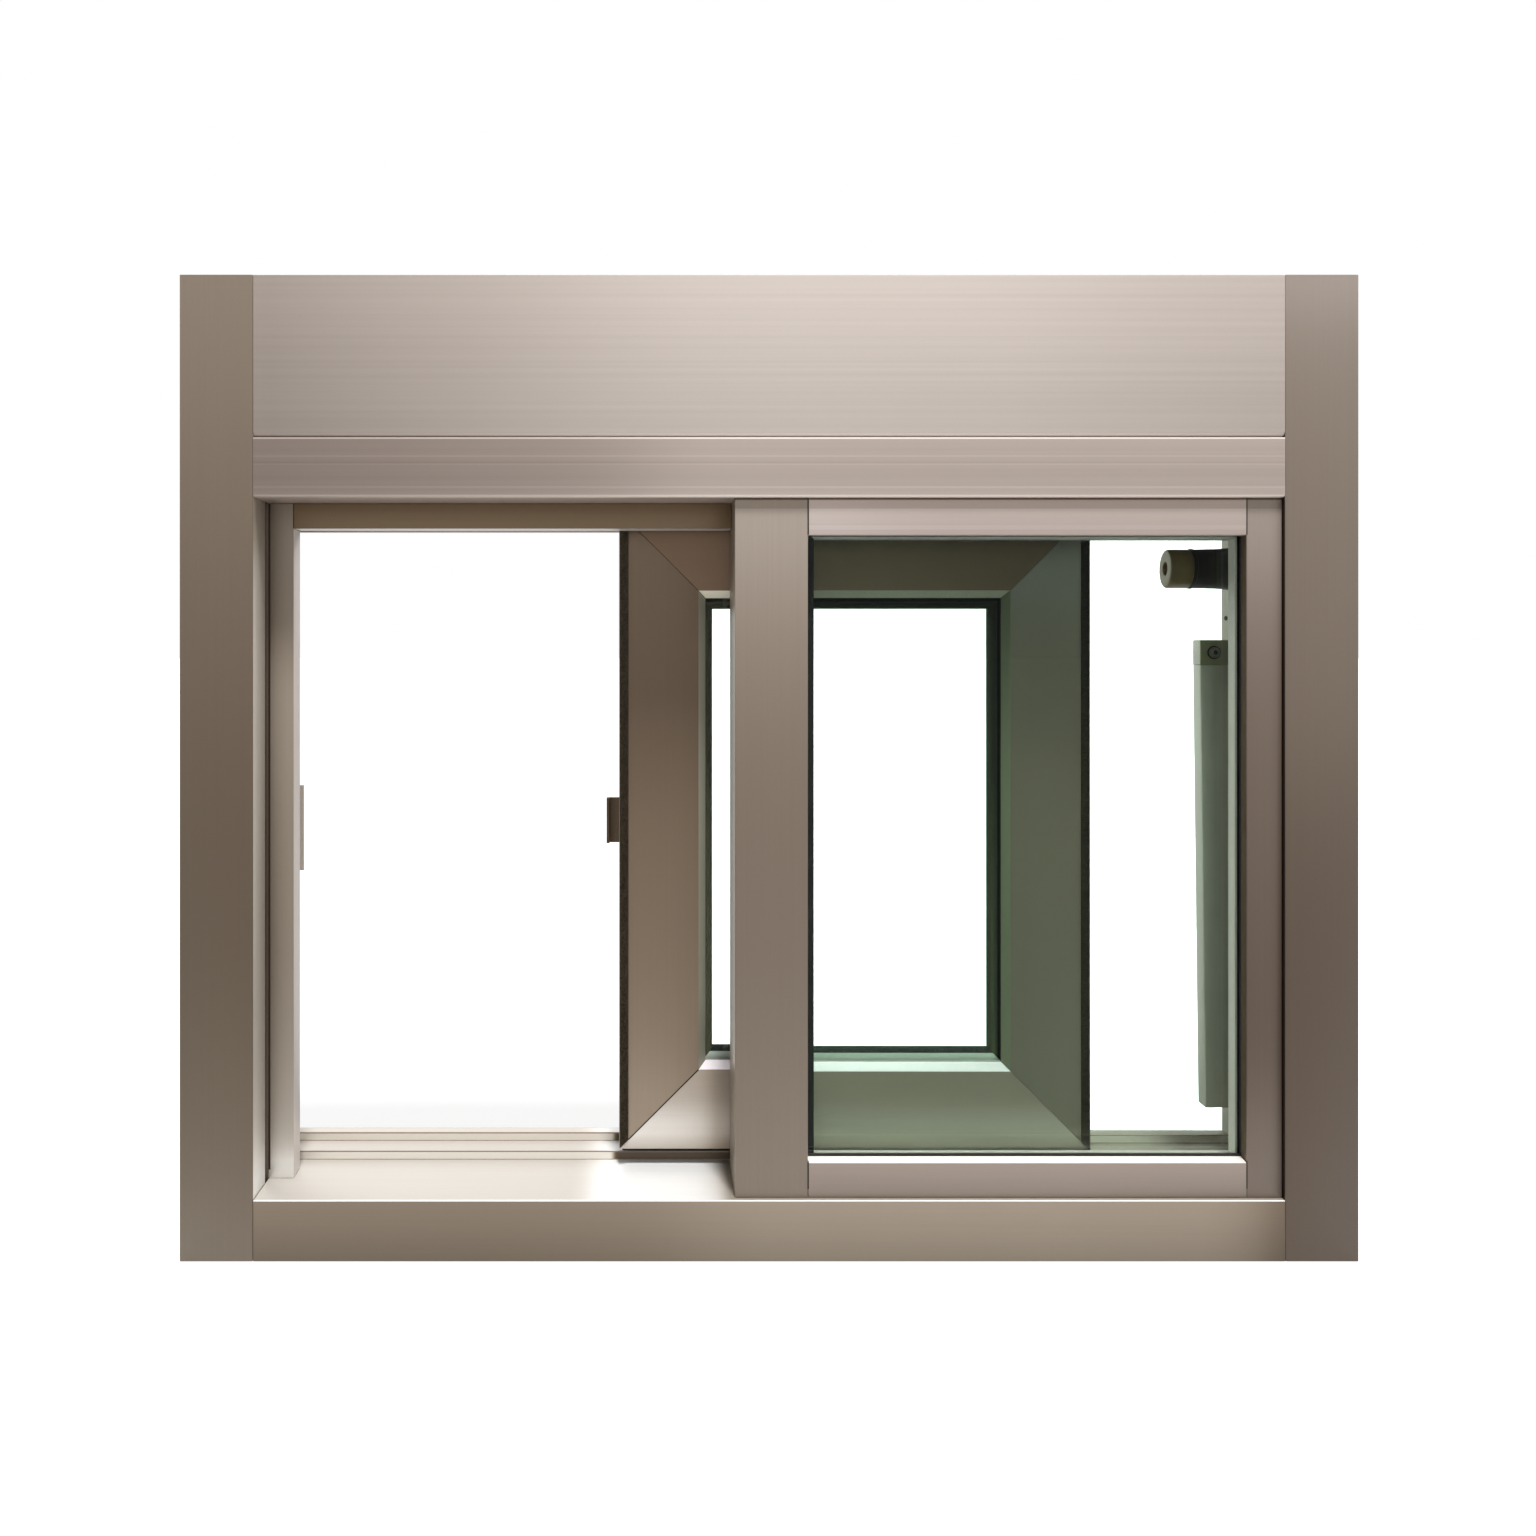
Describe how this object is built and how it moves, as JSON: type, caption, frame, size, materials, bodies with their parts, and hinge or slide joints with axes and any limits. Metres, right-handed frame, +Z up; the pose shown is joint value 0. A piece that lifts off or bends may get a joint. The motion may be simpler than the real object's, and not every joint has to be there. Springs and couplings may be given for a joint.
{
  "type": "sliding service window",
  "caption": "Aluminium service window with a deep header box, a fixed insulated pane and a top-hung mitred sash parked half open, with latch, bumper and security bar.",
  "frame": {"origin": "middle of the sill's flat underside, half way through the frame's depth", "axes": "+X to the right seen from outside, +Y from the outside face to the inside, +Z up"},
  "size_m": [1.2066, 0.1142, 1.0096],
  "materials": {
    "anodised": "satin clear anodised, fine lengthwise extrusion lines",
    "mill_aluminium": "mill finish",
    "glass": "clear float with a slight green tint",
    "gasket": "matte black glazing rubber and sealant",
    "pile": "dark brush pile",
    "steel": "zinc plated",
    "nylon": "black nylon",
    "black_rubber": "black moulded rubber",
    "amber_rubber": "translucent brown moulded bumper"
  },
  "bodies": {
    "root": {"left_jamb": "anodised", "right_jamb": "anodised", "sill": "anodised", "header_bar": "anodised", "header_fascia": "anodised", "header_channel": "anodised", "left_stop": "anodised", "head_stop": "anodised", "mullion": "anodised", "fixed_top_rail": "anodised", "fixed_bottom_rail": "anodised", "fixed_right_stop": "anodised", "fixed_inner_top": "anodised", "fixed_inner_bottom": "anodised", "fixed_inner_right": "anodised", "sash_left_stile": "anodised", "sash_right_stile": "anodised", "sash_top_rail": "anodised", "sash_bottom_rail": "anodised", "sash_bead_left": "anodised", "sash_bead_right": "anodised", "sash_bead_top": "anodised", "sash_bead_bottom": "anodised", "interior_pull": "anodised", "head_track": "mill_aluminium", "fixed_spacer": "mill_aluminium", "sash_spacer": "mill_aluminium", "security_bar": "mill_aluminium", "bar_pivot_block": "mill_aluminium", "fixed_glass_outer": "glass", "fixed_glass_inner": "glass", "sash_glass_outer": "glass", "sash_glass_inner": "glass", "fixed_gasket": "gasket", "sash_gasket": "gasket", "sash_pile_left": "pile", "sash_pile_right": "pile", "sash_pile_bottom": "pile", "left_hanger": "steel", "right_hanger": "steel", "sash_latch": "steel", "latch_keeper": "steel", "sash_guide_shoe": "nylon", "bumper_base": "black_rubber", "bumper_tip": "amber_rubber"}
  },
  "joints": []
}
